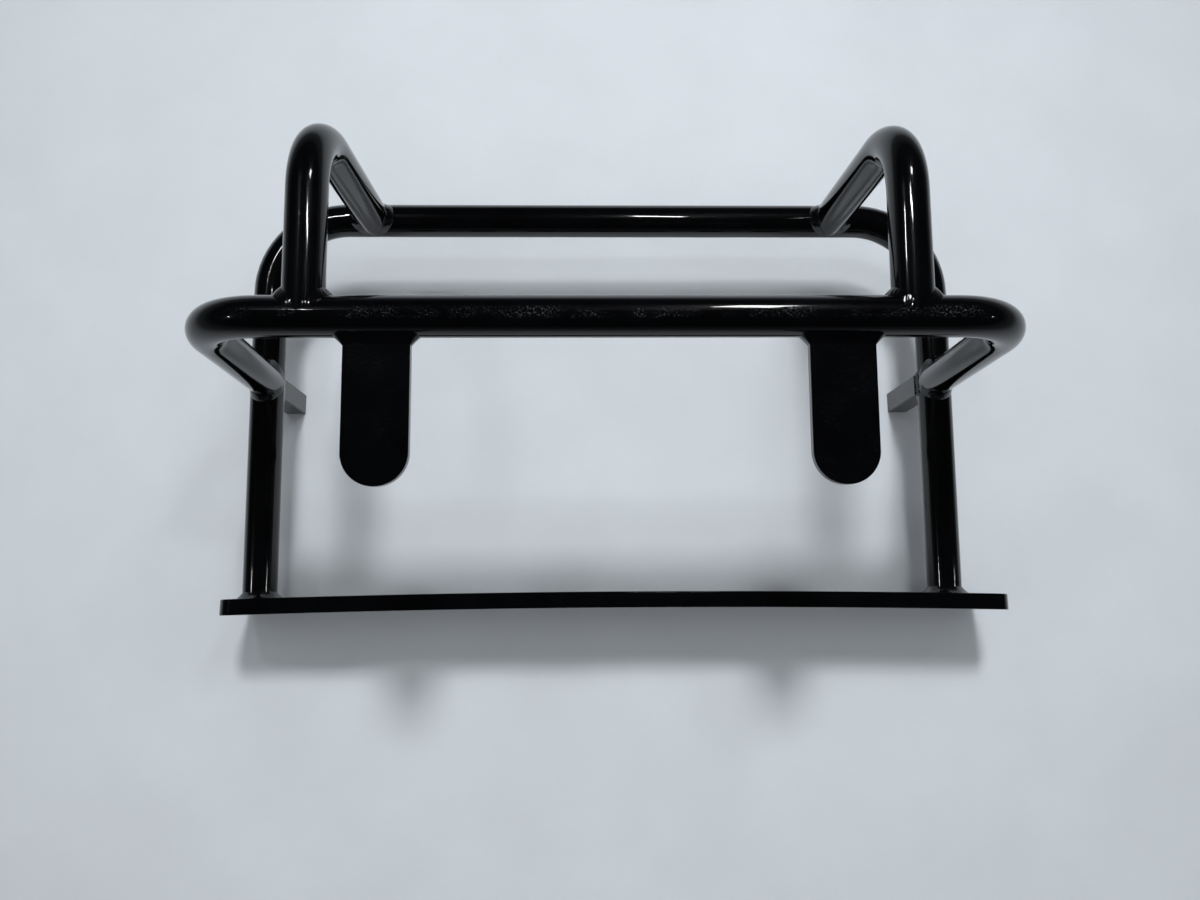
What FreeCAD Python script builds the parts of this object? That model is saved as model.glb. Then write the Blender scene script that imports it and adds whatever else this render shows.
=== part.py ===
"""Welded guard rail: slotted base plate, bent tube cage, hoops, tabs, feet and weld beads.

Millimetres, +Z up. X runs along the rails, Y runs from the base plate back to the rear rail.
"""
import math
import os

import FreeCAD
import Part
from FreeCAD import Vector

# Tube stock shared by the frame, the loop and the hoops
TUBE_OD = 25.4
TUBE_WALL = 2.6
FRAME_BEND_RADIUS = 60.0
CAGE_BEND_RADIUS = 44.5

# Cage layout, measured along the legs from the back of the plate
LEG_SPACING = 528.0
LEG_HEIGHT = 58.0
CAGE_PITCH_DEG = 3.3
REAR_REACH = 300.5
RAIL_REACH = 174.0
RAIL_RISE = 173.5
ARM_REACH = 168.0
ARM_SPLAY = 13.0
HOOP_SPACING = 366.0
HOOP_LEAN = 3.2

# Base plate, cut from flat bar
PLATE_LENGTH = 600.0
PLATE_HEIGHT = 76.2
PLATE_THICKNESS = 12.0
PLATE_CORNER_RADIUS = 12.7
PLATE_SHIFT = 9.2

# Slots in the base plate, three to each side
SLOT_WIDTH = 14.0
SLOT_LENGTH = 40.0
SLOT_INNER_X = 95.0
SLOT_PITCH = 65.0
SLOTS_PER_SIDE = 3

# Tabs on the front rail
TAB_SPACING = 277.0
TAB_WIDTH = 40.0
TAB_LENGTH = 101.5
TAB_THICKNESS = 6.35

# Square feet under the legs
FOOT_SIDE = 16.5
FOOT_REACH = 166.0
FOOT_INSET = 3.5
FOOT_SHIFT = -2.5

# Eased edges of the plate, the tabs and the feet
EDGE_EASE = 0.8
FACE_TOLERANCE = 0.1

# Weld beads
WELD_LEG = 5.0
WELD_SIDE = 1.5
WELD_TOE = 0.5
FOOT_WELD_TOP = 4.5

TUBE_R = TUBE_OD / 2
BORE_R = TUBE_R - TUBE_WALL
WELD_R = TUBE_R + WELD_LEG
LEG_X = LEG_SPACING / 2
RAIL_X = LEG_X - ARM_SPLAY
HOOP_X = HOOP_SPACING / 2
TAB_X = TAB_SPACING / 2
FOOT_X = LEG_X - FOOT_INSET
PITCH = math.radians(CAGE_PITCH_DEG)
SLOT_Z = PLATE_HEIGHT / 2
LEAD = 2 * TUBE_OD
FAR = 4 * PLATE_LENGTH
SIDES = {"left": -1, "right": 1}


def cage(x, along, above):
    """Point of the pitched cage: along the legs from the plate, above the plane of the legs."""
    y = along * math.cos(PITCH) - above * math.sin(PITCH)
    z = LEG_HEIGHT + along * math.sin(PITCH) + above * math.cos(PITCH)
    return Vector(x, y, z)


def rod(start, end, radius):
    """Round bar between two points."""
    span = end - start
    return Part.makeCylinder(radius, span.Length, start, span)


def bent_rod(points, radius, bend_radius):
    """Round bar along straight runs that are joined by bends."""
    pieces = []
    start = points[0]
    for before, corner, after in zip(points, points[1:], points[2:]):
        into = (corner - before).normalize()
        out = (after - corner).normalize()
        turn = into.getAngle(out)
        setback = bend_radius * math.tan(turn / 2)
        bend_start = corner - into * setback
        axis = into.cross(out).normalize()
        centre = bend_start + axis.cross(into) * bend_radius
        section = Part.Face(Part.Wire(Part.makeCircle(radius, bend_start, into)))
        pieces.append(rod(start, bend_start, radius))
        pieces.append(section.revolve(centre, axis, math.degrees(turn)))
        start = corner + out * setback
    pieces.append(rod(start, points[-1], radius))
    return pieces[0].multiFuse(pieces[1:])


def box(x0, x1, y0, y1, z0, z1):
    """Upright box between two corners."""
    return Part.makeBox(x1 - x0, y1 - y0, z1 - z0, Vector(x0, y0, z0))


def joint_collar(root, branch_end, main_axis, solids):
    """Bead where a tube lands on the side of another tube: full in the corners, thin at the flanks."""
    along = (branch_end - root).normalize()
    sleeve = rod(root - along * WELD_LEG, root + along * TUBE_R, WELD_R)
    taper = Part.makeCone(WELD_R, TUBE_R + WELD_TOE, WELD_LEG, root + along * TUBE_R, along)
    skin = rod(main_axis[0], main_axis[1], WELD_R)
    across = main_axis[1] - main_axis[0]
    flank = across.cross(along).normalize()
    span = 2 * (WELD_R + WELD_LEG)
    depth = 2 * (TUBE_R + WELD_SIDE)
    slab = Part.makeBox(span, depth, span, Vector(-span / 2, -depth / 2, -span / 2))
    turn = FreeCAD.Rotation(flank.cross(along), flank, along, "ZYX")
    slab.Placement = FreeCAD.Placement(root, turn)
    bead = sleeve.fuse(taper).common(skin).common(slab)
    for solid in solids:
        bead = bead.cut(solid)
    return bead


def bar_collar(half_wide, half_deep, top):
    """Bead form round a bar that points down from a tube's axis, tapered in to the bar."""
    sections = []
    for drop, grow in ((top, WELD_LEG), (TUBE_R, WELD_LEG), (WELD_R, WELD_TOE)):
        x = half_wide + grow
        y = half_deep + grow
        corners = [Vector(-x, -y, -drop), Vector(x, -y, -drop), Vector(x, y, -drop), Vector(-x, y, -drop)]
        sections.append(Part.makePolygon(corners + corners[:1]))
    return Part.makeLoft(sections, True, True)


def ease(shape, outline):
    """Rounds the edges of a flat piece that lie on its outline."""
    edges = [edge for edge in shape.Edges if outline(edge.CenterOfMass)]
    return shape.makeFillet(EDGE_EASE, edges)


def make_plate():
    """Flat bar on edge with rounded corners and two groups of slots."""
    x0 = PLATE_SHIFT - PLATE_LENGTH / 2
    bar = box(x0, x0 + PLATE_LENGTH, -PLATE_THICKNESS, 0, 0, PLATE_HEIGHT)
    corners = [edge for edge in bar.Edges if abs(edge.tangentAt(edge.FirstParameter).y) > 0.9]
    bar = bar.makeFillet(PLATE_CORNER_RADIUS, corners)
    faces = (-PLATE_THICKNESS, 0)
    bar = ease(bar, lambda centre: min(abs(centre.y - y) for y in faces) < FACE_TOLERANCE)
    half_run = (SLOT_LENGTH - SLOT_WIDTH) / 2
    for side in SIDES.values():
        for index in range(SLOTS_PER_SIDE):
            x = side * (SLOT_INNER_X + index * SLOT_PITCH)
            low = SLOT_Z - SLOT_WIDTH / 2
            high = SLOT_Z + SLOT_WIDTH / 2
            slot = box(x - half_run, x + half_run, -PLATE_THICKNESS, 0, low, high)
            for end in (x - half_run, x + half_run):
                front = Vector(end, -PLATE_THICKNESS, SLOT_Z)
                back = Vector(end, 0, SLOT_Z)
                slot = slot.fuse(rod(front, back, SLOT_WIDTH / 2))
            bar = bar.cut(slot)
    return bar.removeSplitter()


def make_tab(side):
    """Flat lug with a round end, reaching forward from the middle of the front rail."""
    half = TAB_WIDTH / 2
    straight = TAB_LENGTH - half
    lug = Part.makeBox(TAB_WIDTH, straight, TAB_THICKNESS, Vector(-half, -straight, -TAB_THICKNESS / 2))
    lug = lug.fuse(Part.makeCylinder(half, TAB_THICKNESS, Vector(0, -straight, -TAB_THICKNESS / 2)))
    lug = lug.removeSplitter()
    faces = (-TAB_THICKNESS / 2, TAB_THICKNESS / 2)
    lug = ease(lug, lambda centre: min(abs(centre.z - z) for z in faces) < FACE_TOLERANCE and centre.y < 0)
    return at_rail(lug, side, CAGE_PITCH_DEG)


def at_rail(shape, side, turn_deg):
    """Carries a shape from the origin to a tab's place on the front rail, turned about the rail."""
    turn = FreeCAD.Rotation(Vector(1, 0, 0), turn_deg)
    shape.Placement = FreeCAD.Placement(cage(side * TAB_X, RAIL_REACH, RAIL_RISE), turn)
    return shape


parts = {}
behind_plate = box(-FAR, FAR, 0, FAR, -FAR, FAR)

# Main frame: two legs and the rear rail, one bent tube
frame_run = [
    cage(-LEG_X, -LEAD, 0),
    cage(-LEG_X, REAR_REACH, 0),
    cage(LEG_X, REAR_REACH, 0),
    cage(LEG_X, -LEAD, 0),
]
frame_bar = bent_rod(frame_run, TUBE_R, FRAME_BEND_RADIUS).common(behind_plate)
parts["main_frame"] = frame_bar.cut(bent_rod(frame_run, BORE_R, FRAME_BEND_RADIUS))

# Front loop: the front rail and the two arms that stand on the legs
loop_run = [
    cage(-LEG_X, ARM_REACH, 0),
    cage(-RAIL_X, RAIL_REACH, RAIL_RISE),
    cage(RAIL_X, RAIL_REACH, RAIL_RISE),
    cage(LEG_X, ARM_REACH, 0),
]
loop_bar = bent_rod(loop_run, TUBE_R, CAGE_BEND_RADIUS).cut(frame_bar)
parts["front_loop"] = loop_bar.cut(bent_rod(loop_run, BORE_R, CAGE_BEND_RADIUS))

parts["base_plate"] = make_plate()

rear_axis = (cage(-HOOP_X - LEAD, REAR_REACH, 0), cage(HOOP_X + LEAD, REAR_REACH, 0))
rail_axis = (cage(-RAIL_X, RAIL_REACH, RAIL_RISE), cage(RAIL_X, RAIL_REACH, RAIL_RISE))

for name, side in SIDES.items():
    x = side * HOOP_X
    leg_axis = (cage(side * LEG_X, -LEAD, 0), cage(side * LEG_X, REAR_REACH, 0))

    # Hoop from the front rail back and down to the rear rail
    hoop_run = [
        cage(x, RAIL_REACH, RAIL_RISE),
        cage(x, REAR_REACH - HOOP_LEAN, RAIL_RISE),
        cage(x, REAR_REACH, 0),
    ]
    hoop_bar = bent_rod(hoop_run, TUBE_R, CAGE_BEND_RADIUS).cut(loop_bar).cut(frame_bar)
    parts["hoop_" + name] = hoop_bar.cut(bent_rod(hoop_run, BORE_R, CAGE_BEND_RADIUS))

    # Tab, stopped by the skin of the front rail
    tab = make_tab(side).cut(loop_bar)
    parts["tab_" + name] = tab

    # Foot, shaped at its top to the underside of the leg
    foot_axis = cage(side * LEG_X, FOOT_REACH, 0)
    half = FOOT_SIDE / 2
    foot_x = side * FOOT_X + FOOT_SHIFT
    foot_top = foot_axis.z - FOOT_WELD_TOP
    foot = box(foot_x - half, foot_x + half, FOOT_REACH - half, FOOT_REACH + half, 0, foot_top)
    foot = ease(foot, lambda centre: 0 < centre.z < foot_top)
    foot = foot.cut(rod(*leg_axis, TUBE_R))
    parts["foot_" + name] = foot

    # Bead round the top of the foot
    collar = bar_collar(half, half, FOOT_WELD_TOP)
    collar.translate(Vector(foot_x, FOOT_REACH, foot_axis.z))
    collar = collar.common(rod(*leg_axis, WELD_R))
    foot_bead = collar.cut(frame_bar).cut(foot)
    parts["weld_foot_" + name] = foot_bead

    # Bead round the leg where it meets the plate
    leg_dir = leg_axis[1] - leg_axis[0]
    root = cage(side * LEG_X, -WELD_LEG, 0)
    ring = Part.makeCone(WELD_R + WELD_LEG, TUBE_R + WELD_TOE, 2 * WELD_LEG, root, leg_dir)
    parts["weld_leg_" + name] = ring.common(behind_plate).cut(rod(*leg_axis, TUBE_R))

    # Beads round the ends of the arm and the hoop
    arm_foot = loop_run[0] if side < 0 else loop_run[3]
    arm_top = loop_run[1] if side < 0 else loop_run[2]
    arm_bar = rod(arm_foot, arm_top, TUBE_R)
    seats = (frame_bar, arm_bar, foot, foot_bead)
    parts["weld_arm_" + name] = joint_collar(arm_foot, arm_top, leg_axis, seats)
    back_bar = rod(hoop_run[0], hoop_run[1], TUBE_R)
    collar = joint_collar(hoop_run[0], hoop_run[1], rail_axis, (loop_bar, back_bar))
    parts["weld_hoop_front_" + name] = collar
    down_bar = rod(hoop_run[2], hoop_run[1], TUBE_R)
    collar = joint_collar(hoop_run[2], hoop_run[1], rear_axis, (frame_bar, down_bar))
    parts["weld_hoop_rear_" + name] = collar

    # Bead round the root of the tab
    collar = at_rail(bar_collar(TAB_WIDTH / 2, TAB_THICKNESS / 2, 0), side, CAGE_PITCH_DEG - 90)
    collar = collar.common(rod(*rail_axis, WELD_R))
    parts["weld_tab_" + name] = collar.cut(loop_bar).cut(tab)

# The frame's origin is the middle of the object's floor area
whole = Part.Compound(list(parts.values())).optimalBoundingBox(False)
shift = Vector(-whole.Center.x, -whole.Center.y, -whole.ZMin)

os.makedirs("parts", exist_ok=True)
for name, shape in parts.items():
    if len(shape.Solids) == 1:
        shape = shape.Solids[0]
    shape.translate(shift)
    shape.exportStep("parts/" + name + ".step")
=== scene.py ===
"""Looks of a welded tube guard: gloss black paint, rippled beads, bowed plate, pale floor, lamps and camera.

Metres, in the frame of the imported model: X along the rails, Y from the base plate back to the rear rail.
"""
import math
from collections import namedtuple

import bmesh
import bpy
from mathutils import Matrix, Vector, noise


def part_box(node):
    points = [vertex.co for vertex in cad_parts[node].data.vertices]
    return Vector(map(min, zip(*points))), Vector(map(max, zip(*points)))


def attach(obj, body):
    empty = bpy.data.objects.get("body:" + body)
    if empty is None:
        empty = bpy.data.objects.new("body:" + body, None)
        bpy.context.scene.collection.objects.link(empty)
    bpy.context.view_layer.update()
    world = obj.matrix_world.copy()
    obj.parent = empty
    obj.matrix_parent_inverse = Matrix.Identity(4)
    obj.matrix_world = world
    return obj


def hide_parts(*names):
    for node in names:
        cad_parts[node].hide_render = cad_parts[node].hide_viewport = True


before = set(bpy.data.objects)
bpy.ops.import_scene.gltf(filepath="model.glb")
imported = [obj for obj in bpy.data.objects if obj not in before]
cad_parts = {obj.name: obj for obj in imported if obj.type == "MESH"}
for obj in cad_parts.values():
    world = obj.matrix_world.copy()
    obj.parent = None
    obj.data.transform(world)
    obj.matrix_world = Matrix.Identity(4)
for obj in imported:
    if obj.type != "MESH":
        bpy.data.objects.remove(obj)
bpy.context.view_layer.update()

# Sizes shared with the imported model
TUBE_RADIUS = 0.0127
CAGE_PITCH = math.radians(3.3)
ARM_REACH = 0.168
ARM_SPLAY = 0.013
RAIL_RISE = 0.1735
HOOP_LEAN = 0.0032
TAB_THICKNESS = 0.00635
BAR_CORNER = 0.0012

# Bow of the base plate towards the cage, most at its middle
PLATE_BOW = 0.0039
PLATE_CUTS = 40
PLATE_MERGE = 1e-6
PLATE_CREASE_DEG = 50.0

# Weld beads: a crown below zero makes a hollow bead
Bead = namedtuple("Bead", "leg crown ripple")
TUBE_BEAD = Bead(0.0052, 0.0002, 0.0003)
PLATE_BEAD = Bead(0.0054, -0.0005, 0.0001)
TAB_BEAD = Bead(0.0060, -0.0004, 0.0002)
FOOT_BEAD = Bead(0.0050, 0.0003, 0.0003)
BEAD_SINK = 0.0004
RIPPLE_PITCH = 0.0021
RIPPLE_SWEEP = 0.6
BEAD_WANDER = 0.16
WANDER_SCALE = 160
LUMP_LEVEL = 0.75
LUMP_RANGE = 0.5
LUMP_SCALE = 420
BEAD_STEP = 0.00045
BEAD_SECTION = 9
CORNER_STEPS = 12

# Paint: grain in features per metre, and the span of each grain that is put to use
Grain = namedtuple("Grain", "scale detail rough")
HAZE = Grain(38, 6, 0.6)
HAZE_TONE_SPAN = (0.35, 0.7)
HAZE_GLOSS_SPAN = (0.3, 0.75)
PAINT_DARK = (0.0005, 0.0006, 0.0008)
PAINT_PALE = (0.0013, 0.0015, 0.0019)
PAINT_ROUGHNESS = (0.04, 0.07)
PAINT_IOR = 1.5
COAT_WEIGHT = 0.1
COAT_ROUGHNESS = 0.25
PEEL = Grain(420, 2, 0.5)
PEEL_DEPTH = 0.0004
TUBE_PEEL = 0.02
WELD_PEEL = 0.12

# Scuffs and painted sheen: pale specks in patches on the faces that look to one side, partly rubbed paint
# and partly painted lamp glints
SCUFF_AND_SHEEN_SIDE = (0.0, -0.08, 0.997)
SCUFF_AND_SHEEN_SIDE_SPAN = (0.945, 0.99)
SPECKS = Grain(800, 3, 0.7)
SPECK_SPAN = (0.54, 0.7)
PATCHES = Grain(40, 3, 0.6)
PATCH_SPAN = (0.42, 0.62)
SCUFF_AND_SHEEN_COLOR = (0.10, 0.11, 0.12)
WORN_ROUGHNESS = 0.35
RAIL_SCUFFS_AND_SHEEN = 0.7
BAR_SCUFFS_AND_SHEEN = 0.04

# Floor and ceiling
FLOOR_RADIUS = 20.0
FLOOR_SIDES = 128
FLOOR_COLOR = (0.62, 0.67, 0.72)
# Painted shade: the floor darkens to the far colour between these distances from its middle
FLOOR_SHADE_FADE = (0.45, 2.2)
FLOOR_FAR_SHADE_COLOR = (0.40, 0.43, 0.46)
FLOOR_ROUGHNESS = 0.55
MOTTLE = Grain(9, 6, 0.6)
MOTTLE_SPAN = (0.3, 0.7)
MOTTLE_SHADE = 0.93
HORIZON_COLOR = (0.092, 0.099, 0.106)
CEILING_COLOR = (0.010, 0.011, 0.013)
CEILING_SPAN = (0.02, 0.3)

# Lamps, all aimed at the origin
LAMP_PLACES = {
    "left": (-0.45, 0.34, 0.95),
    "right": (0.11, 0.30, 0.95),
    "far_left": (-1.36, -0.27, 1.30),
    "far_right": (1.94, -0.29, 1.30),
}
LAMP_SIZE = (0.09, 0.02)
LAMP_POWER = 0.6
RAIL_LAMP_PLACE = (0.25, 0.555, 0.95)
RAIL_LAMP_SIZE = (0.10, 0.14)
RAIL_LAMP_POWER = 1.3
KEY_PLACE = (0.05, 1.55, 2.65)
KEY_SIZE = (0.4, 0.4)
KEY_POWER = 52.0
FILL_PLACE = (0.1, -0.2, 2.0)
FILL_SIZE = (1.5, 1.5)
FILL_POWER = 6.5
WASH_STRENGTH = 0.75
WASH_SPREAD_DEG = 110.0

# Camera, lens in millimetres on a 36 mm sensor
CAMERA_PLACE = (-0.02718, -0.15790, 0.74679)
CAMERA_TURN_DEG = (10.02, -1.17, -0.43)
CAMERA_LENS = 26.46

SIDES = {"left": -1, "right": 1}
X_AXIS = Vector((1, 0, 0))
Y_AXIS = Vector((0, 1, 0))
Z_AXIS = Vector((0, 0, 1))
ALONG = Vector((0, math.cos(CAGE_PITCH), math.sin(CAGE_PITCH)))
ABOVE = Vector((0, -math.sin(CAGE_PITCH), math.cos(CAGE_PITCH)))

# Places of the plate and the tubes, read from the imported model
plate_low, plate_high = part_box("base_plate")
frame_low, frame_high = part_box("main_frame")
loop_low, loop_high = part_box("front_loop")
rear_rail = Vector((0, frame_high.y - TUBE_RADIUS, frame_high.z - TUBE_RADIUS))
front_rail = Vector((0, loop_low.y + TUBE_RADIUS, loop_high.z - TUBE_RADIUS))
leg_height = frame_low.z + TUBE_RADIUS / math.cos(CAGE_PITCH)
leg_x = {"left": frame_low.x + TUBE_RADIUS, "right": frame_high.x - TUBE_RADIUS}


class Tube:
    """Round surface that a bead lies on."""

    def __init__(self, place, axis):
        self.place = place
        self.axis = axis.normalized()

    def normal(self, point):
        away = point - self.place
        return (away - self.axis * away.dot(self.axis)).normalized()

    def nearest(self, point):
        away = point - self.place
        return self.place + self.axis * away.dot(self.axis) + self.normal(point) * TUBE_RADIUS

    def hit(self, start, out):
        """Where a line leaves the tube."""
        away = start - self.place
        flat = away - self.axis * away.dot(self.axis)
        slope = out - self.axis * out.dot(self.axis)
        a = slope.dot(slope)
        b = flat.dot(slope)
        c = flat.dot(flat) - TUBE_RADIUS ** 2
        return start + out * ((-b + math.sqrt(max(b * b - a * c, 0))) / a)


class Flat:
    """Plane surface that a bead lies on."""

    def __init__(self, place, normal):
        self.place = place
        self.up = normal

    def normal(self, point):
        return self.up

    def nearest(self, point):
        return point - self.up * (point - self.place).dot(self.up)

    def hit(self, start, out):
        return start + out * ((self.place - start).dot(self.up) / out.dot(self.up))


def add_object(name, data):
    """New object in the scene."""
    thing = bpy.data.objects.new(name, data)
    bpy.context.scene.collection.objects.link(thing)
    return thing


def round_profile(radius):
    """Points and outward directions round a tube, at the bead's step."""
    count = round(2 * math.pi * radius / BEAD_STEP)
    turns = [2 * math.pi * index / count for index in range(count)]
    return [((radius * math.cos(t), radius * math.sin(t)), (math.cos(t), math.sin(t))) for t in turns]


def bar_profile(half_wide, half_deep, corner):
    """Points and outward directions round a flat bar with eased corners, at the bead's step."""
    profile = []
    quarters = ((1, 1, 0), (-1, 1, 90), (-1, -1, 180), (1, -1, 270))
    for index, (side_x, side_y, start) in enumerate(quarters):
        centre_x = side_x * (half_wide - corner)
        centre_y = side_y * (half_deep - corner)
        for step in range(CORNER_STEPS + 1):
            turn = math.radians(start + step * 90 / CORNER_STEPS)
            way = (math.cos(turn), math.sin(turn))
            profile.append(((centre_x + corner * way[0], centre_y + corner * way[1]), way))
        next_x, next_y, _ = quarters[(index + 1) % len(quarters)]
        end_x, end_y = profile[-1][0]
        goal_x = next_x * (half_wide - corner) + corner * way[0]
        goal_y = next_y * (half_deep - corner) + corner * way[1]
        run = math.dist((end_x, end_y), (goal_x, goal_y))
        for step in range(1, int(run / BEAD_STEP)):
            share = step * BEAD_STEP / run
            place = (end_x + (goal_x - end_x) * share, end_y + (goal_y - end_y) * share)
            profile.append((place, way))
    return profile


def bead_path(profile, root, out, main):
    """Seam where a bar with the given profile meets a main surface, with the bar's outward directions."""
    across = X_AXIS if abs(out.dot(X_AXIS)) < 0.5 else Y_AXIS
    across = (across - out * across.dot(out)).normalized()
    side = out.cross(across)
    path = []
    for (a, b), (way_a, way_b) in profile:
        point = main.hit(root + across * a + side * b, out)
        path.append((point, across * way_a + side * way_b))
    return path


def bead_ring(point, bar_normal, out, main, style, phase):
    """Section of a bead at a point of its seam: a humped face, and one point sunk behind the seam."""
    main_normal = main.normal(point)
    wander = 1 + BEAD_WANDER * noise.noise(point * WANDER_SCALE)
    spread = bar_normal - out
    spread = (spread - main_normal * spread.dot(main_normal)).normalized()
    reach = style.leg * wander
    bar_toe = point + out * reach - bar_normal * BEAD_SINK
    main_toe = main.nearest(point + spread * reach)
    main_toe -= main.normal(main_toe) * BEAD_SINK
    outward = (bar_normal + main_normal).normalized()
    lumps = LUMP_LEVEL + LUMP_RANGE * noise.noise(point * LUMP_SCALE)
    ring = []
    for index in range(BEAD_SECTION):
        share = index / (BEAD_SECTION - 1)
        hump = 4 * share * (1 - share)
        ripple = abs(math.sin(math.pi * (phase + RIPPLE_SWEEP * hump)))
        lift = hump * (style.crown * wander + style.ripple * lumps * ripple)
        ring.append(bar_toe.lerp(main_toe, share) + outward * lift)
    ring.append(point - outward * 2 * BEAD_SINK)
    return ring


def weld_bead(name, profile, root, out, main, style):
    """Rippled fillet round the place where a bar with the given profile meets a main surface."""
    path = bead_path(profile, root, out, main)
    count = len(path)
    steps = [(path[i][0] - path[i - 1][0]).length for i in range(count)]
    length = sum(steps)
    ripples = round(length / RIPPLE_PITCH)
    verts = []
    travel = 0
    for (point, bar_normal), step in zip(path, steps):
        travel += step
        verts += bead_ring(point, bar_normal, out, main, style, ripples * travel / length)
    ring = BEAD_SECTION + 1
    faces = []
    for i in range(count):
        here = i * ring
        there = (i + 1) % count * ring
        for j in range(ring):
            after = (j + 1) % ring
            faces.append((here + j, there + j, there + after, here + after))
    mesh = bpy.data.meshes.new(name)
    mesh.from_pydata(verts, [], faces)
    mesh.shade_smooth()
    return add_object(name, mesh)


def dress_bead(bead, node):
    """Puts a bead in the place of its plain solid."""
    bead.data.materials.append(weld_paint)
    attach(bead, "root")
    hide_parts(node)


def add_weld(joint, profile, root, out, main, style):
    """Makes and dresses the bead of one joint."""
    bead = weld_bead("bead_" + joint, profile, root, out, main, style)
    dress_bead(bead, "weld_" + joint)


def plate_bow(x):
    """How far the plate stands towards the cage at a place along it."""
    return PLATE_BOW * (1 - (x / plate_high.x) ** 2)


def plate_normal(x):
    """Way that the back of the bowed plate looks."""
    return Vector((2 * PLATE_BOW * x / plate_high.x ** 2, 1, 0)).normalized()


def bowed_plate(node):
    """The base plate with its slots, cut across in many places and bowed."""
    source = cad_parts[node].data
    corners = [vert.co for vert in source.vertices]
    mesh = bpy.data.meshes.new("bowed_plate")
    mesh.from_pydata(corners, [], [face.vertices[:] for face in source.polygons])
    form = bmesh.new()
    form.from_mesh(mesh)
    bmesh.ops.remove_doubles(form, verts=form.verts, dist=PLATE_MERGE)
    for index in range(1, PLATE_CUTS):
        place = plate_low.lerp(plate_high, index / PLATE_CUTS)
        whole = form.verts[:] + form.edges[:] + form.faces[:]
        bmesh.ops.bisect_plane(form, geom=whole, plane_co=place, plane_no=X_AXIS)
    for vert in form.verts:
        vert.co.y += plate_bow(vert.co.x)
    form.to_mesh(mesh)
    form.free()
    mesh.shade_smooth()
    mesh.set_sharp_from_angle(angle=math.radians(PLATE_CREASE_DEG))
    mesh.materials.append(bar_paint)
    plate = add_object("bowed_plate", mesh)
    weights = plate.modifiers.new("flat_faces", "WEIGHTED_NORMAL")
    weights.keep_sharp = True
    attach(plate, "root")
    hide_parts(node)


def new_material(name):
    """Empty node material with its shader."""
    material = bpy.data.materials.new(name)
    material.use_nodes = True
    tree = material.node_tree
    return material, tree, tree.nodes["Principled BSDF"]


def add_noise(tree, coords, grain):
    """Noise value over object space."""
    texture = tree.nodes.new("ShaderNodeTexNoise")
    texture.inputs["Scale"].default_value = grain.scale
    texture.inputs["Detail"].default_value = grain.detail
    texture.inputs["Roughness"].default_value = grain.rough
    tree.links.new(coords, texture.inputs["Vector"])
    return texture.outputs["Fac"]


def add_ramp(tree, value, span, new_span=(0.0, 1.0)):
    """Spreads a span of a value over a new span."""
    ramp = tree.nodes.new("ShaderNodeMapRange")
    ramp.inputs["From Min"].default_value, ramp.inputs["From Max"].default_value = span
    ramp.inputs["To Min"].default_value, ramp.inputs["To Max"].default_value = new_span
    tree.links.new(value, ramp.inputs["Value"])
    return ramp.outputs["Result"]


def add_math(tree, operation, first, second):
    """Two values, or a value and a number, put together."""
    node = tree.nodes.new("ShaderNodeMath")
    node.operation = operation
    tree.links.new(first, node.inputs[0])
    if isinstance(second, (int, float)):
        node.inputs[1].default_value = second
    else:
        tree.links.new(second, node.inputs[1])
    return node.outputs["Value"]


def add_mix(tree, factor, low, high):
    """Colour between two, each written as a colour or taken from another node."""
    mix = tree.nodes.new("ShaderNodeMix")
    mix.data_type = "RGBA"
    tree.links.new(factor, mix.inputs["Factor"])
    for socket, tone in (("A", low), ("B", high)):
        if isinstance(tone, tuple):
            mix.inputs[socket].default_value = (*tone, 1)
        else:
            tree.links.new(tone, mix.inputs[socket])
    return mix.outputs["Result"]


def add_wear_and_sheen(tree, coords, scuffs_and_sheen):
    """Share of scuffs and painted sheen: specks in patches on the faces that look to one side."""
    facing = tree.nodes.new("ShaderNodeVectorMath")
    facing.operation = "DOT_PRODUCT"
    facing.inputs[1].default_value = SCUFF_AND_SHEEN_SIDE
    tree.links.new(tree.nodes.new("ShaderNodeNewGeometry").outputs["Normal"], facing.inputs[0])
    wear_and_sheen_face = add_ramp(tree, facing.outputs["Value"], SCUFF_AND_SHEEN_SIDE_SPAN)
    specks = add_ramp(tree, add_noise(tree, coords, SPECKS), SPECK_SPAN)
    patches = add_ramp(tree, add_noise(tree, coords, PATCHES), PATCH_SPAN)
    wear_and_sheen = add_math(tree, "MULTIPLY", add_math(tree, "MULTIPLY", specks, patches), wear_and_sheen_face)
    return add_math(tree, "MULTIPLY", wear_and_sheen, scuffs_and_sheen)


def make_paint(name, scuffs_and_sheen=0.0, peel=TUBE_PEEL):
    """Gloss black paint with orange peel, haze, and wear with a painted sheen."""
    material, tree, shader = new_material(name)
    coords = tree.nodes.new("ShaderNodeTexCoord").outputs["Object"]
    haze = add_noise(tree, coords, HAZE)
    tone = add_mix(tree, add_ramp(tree, haze, HAZE_TONE_SPAN), PAINT_DARK, PAINT_PALE)
    gloss = add_ramp(tree, haze, HAZE_GLOSS_SPAN, PAINT_ROUGHNESS)
    wear_and_sheen = add_wear_and_sheen(tree, coords, scuffs_and_sheen)
    dulled = add_math(tree, "ADD", gloss, add_math(tree, "MULTIPLY", wear_and_sheen, WORN_ROUGHNESS))
    # Pale specks in the base colour: partly rubbed paint, partly a painted sheen of lamp glints
    tree.links.new(add_mix(tree, wear_and_sheen, tone, SCUFF_AND_SHEEN_COLOR), shader.inputs["Base Color"])
    tree.links.new(dulled, shader.inputs["Roughness"])
    shader.inputs["IOR"].default_value = PAINT_IOR
    shader.inputs["Coat Weight"].default_value = COAT_WEIGHT
    shader.inputs["Coat Roughness"].default_value = COAT_ROUGHNESS
    bump = tree.nodes.new("ShaderNodeBump")
    bump.inputs["Strength"].default_value = peel
    bump.inputs["Distance"].default_value = PEEL_DEPTH
    tree.links.new(add_noise(tree, coords, PEEL), bump.inputs["Height"])
    tree.links.new(bump.outputs["Normal"], shader.inputs["Normal"])
    return material


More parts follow.
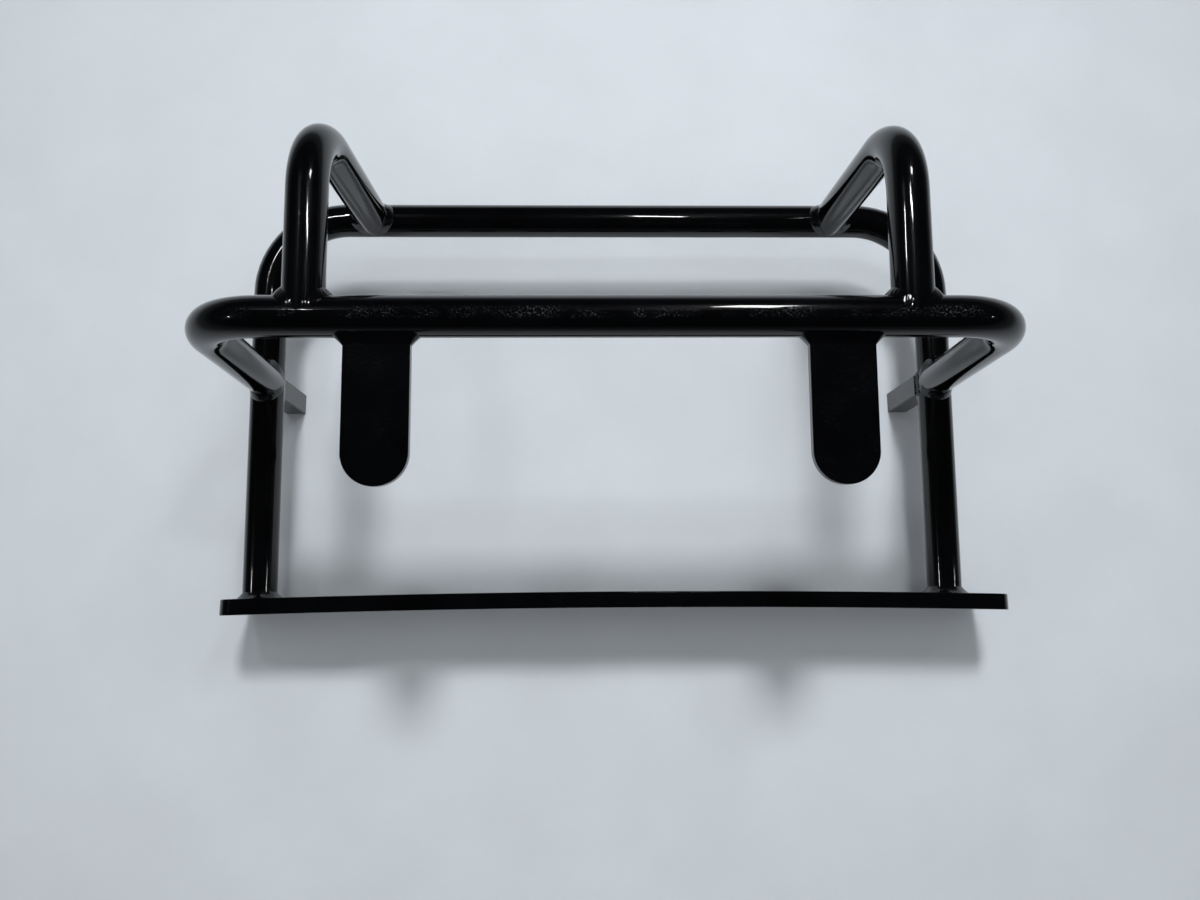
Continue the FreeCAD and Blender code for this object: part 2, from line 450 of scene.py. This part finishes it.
def make_floor():
    """Plain pale floor with a faint mottle, and painted shade that darkens it away from the object."""
    material, tree, shader = new_material("pale_floor")
    coords = tree.nodes.new("ShaderNodeTexCoord").outputs["Object"]
    mottle = add_ramp(tree, add_noise(tree, coords, MOTTLE), MOTTLE_SPAN)
    darker = tuple(MOTTLE_SHADE * channel for channel in FLOOR_COLOR)
    tone = add_mix(tree, mottle, darker, FLOOR_COLOR)
    away = tree.nodes.new("ShaderNodeVectorMath")
    away.operation = "LENGTH"
    tree.links.new(coords, away.inputs[0])
    # Painted shade: darker floor colour further out
    far_shade = add_ramp(tree, away.outputs["Value"], FLOOR_SHADE_FADE)
    tree.links.new(add_mix(tree, far_shade, tone, FLOOR_FAR_SHADE_COLOR), shader.inputs["Base Color"])
    shader.inputs["Roughness"].default_value = FLOOR_ROUGHNESS
    bpy.ops.mesh.primitive_circle_add(vertices=FLOOR_SIDES, radius=FLOOR_RADIUS, fill_type="NGON")
    floor = bpy.context.object
    floor.name = "floor"
    floor.data.materials.append(material)


def add_lamp(name, place, size, power):
    """Rectangular lamp aimed at the origin."""
    data = bpy.data.lights.new(name, "AREA")
    data.shape = "RECTANGLE"
    data.size, data.size_y = size
    data.energy = power
    lamp = add_object(name, data)
    lamp.location = place
    lamp.rotation_euler = (-Vector(place)).to_track_quat("-Z", "Y").to_euler()
    return lamp


def add_wash():
    """Even light from straight above."""
    data = bpy.data.lights.new("wash", "SUN")
    data.energy = WASH_STRENGTH
    data.angle = math.radians(WASH_SPREAD_DEG)
    return add_object("wash", data)


def add_world():
    """Dark ceiling that pales towards the horizon."""
    world = bpy.data.worlds.new("studio")
    bpy.context.scene.world = world
    world.use_nodes = True
    tree = world.node_tree
    way = tree.nodes.new("ShaderNodeTexCoord").outputs["Generated"]
    split = tree.nodes.new("ShaderNodeSeparateXYZ")
    tree.links.new(way, split.inputs["Vector"])
    height = add_ramp(tree, split.outputs["Z"], CEILING_SPAN)
    tone = add_mix(tree, height, HORIZON_COLOR, CEILING_COLOR)
    tree.links.new(tone, tree.nodes["Background"].inputs["Color"])


def add_camera():
    """Camera at the photograph's viewing angle."""
    data = bpy.data.cameras.new("camera")
    data.lens = CAMERA_LENS
    camera = add_object("camera", data)
    camera.location = CAMERA_PLACE
    camera.rotation_euler = [math.radians(turn) for turn in CAMERA_TURN_DEG]
    bpy.context.scene.camera = camera


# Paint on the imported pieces
tube_paint = make_paint("tube_paint")
rail_paint = make_paint("rail_paint", scuffs_and_sheen=RAIL_SCUFFS_AND_SHEEN)
bar_paint = make_paint("bar_paint", scuffs_and_sheen=BAR_SCUFFS_AND_SHEEN)
weld_paint = make_paint("weld_paint", peel=WELD_PEEL)
paints = {"front_loop": rail_paint, "tab_left": bar_paint, "tab_right": bar_paint}
for name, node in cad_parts.items():
    node.data.materials.clear()
    node.data.materials.append(paints.get(name, tube_paint))

# Base plate as the welds have drawn it
bowed_plate("base_plate")

# Weld beads, one for each plain collar
tube_round = round_profile(TUBE_RADIUS)
rail = Tube(front_rail, X_AXIS)
rear = Tube(rear_rail, X_AXIS)
hoop_down = (ABOVE * RAIL_RISE - ALONG * HOOP_LEAN).normalized()
for name, side in SIDES.items():
    # Leg on the back of the plate
    root = Vector((leg_x[name], plate_high.y, leg_height))
    leg = Tube(root, ALONG)
    seat = root + ALONG * (plate_bow(root.x) / ALONG.y)
    plate_back = Flat(seat, plate_normal(root.x))
    add_weld("leg_" + name, tube_round, seat, ALONG, plate_back, PLATE_BEAD)

    # Arm on the leg
    arm_foot = root + ALONG * ARM_REACH
    corner = Vector((arm_foot.x - side * ARM_SPLAY, front_rail.y, front_rail.z))
    arm_up = (corner - arm_foot).normalized()
    add_weld("arm_" + name, tube_round, arm_foot, arm_up, leg, TUBE_BEAD)

    # Hoop on the front rail and on the rear rail
    low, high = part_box("hoop_" + name)
    across = X_AXIS * ((low.x + high.x) / 2)
    add_weld("hoop_front_" + name, tube_round, front_rail + across, ALONG, rail, TUBE_BEAD)
    add_weld("hoop_rear_" + name, tube_round, rear_rail + across, hoop_down, rear, TUBE_BEAD)

    # Tab on the front rail
    low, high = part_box("tab_" + name)
    across = X_AXIS * ((low.x + high.x) / 2)
    lug = bar_profile((high.x - low.x) / 2, TAB_THICKNESS / 2, BAR_CORNER)
    add_weld("tab_" + name, lug, front_rail + across, -ALONG, rail, TAB_BEAD)

    # Foot under the leg
    low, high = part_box("foot_" + name)
    middle = (low + high) / 2
    middle.z = root.z + (middle.y - root.y) * ALONG.z / ALONG.y
    bar = bar_profile((high.x - low.x) / 2, (high.y - low.y) / 2, BAR_CORNER)
    add_weld("foot_" + name, bar, middle, -Z_AXIS, leg, FOOT_BEAD)

# Stage: floor, lamps and camera
make_floor()
add_world()
for name, place in LAMP_PLACES.items():
    add_lamp("lamp_" + name, place, LAMP_SIZE, LAMP_POWER)
add_lamp("lamp_rails", RAIL_LAMP_PLACE, RAIL_LAMP_SIZE, RAIL_LAMP_POWER)
key = add_lamp("key", KEY_PLACE, KEY_SIZE, KEY_POWER)
fill = add_lamp("fill", FILL_PLACE, FILL_SIZE, FILL_POWER)
for light in (key, fill, add_wash()):
    light.visible_glossy = False
add_camera()
bpy.context.scene.view_settings.view_transform = "Standard"
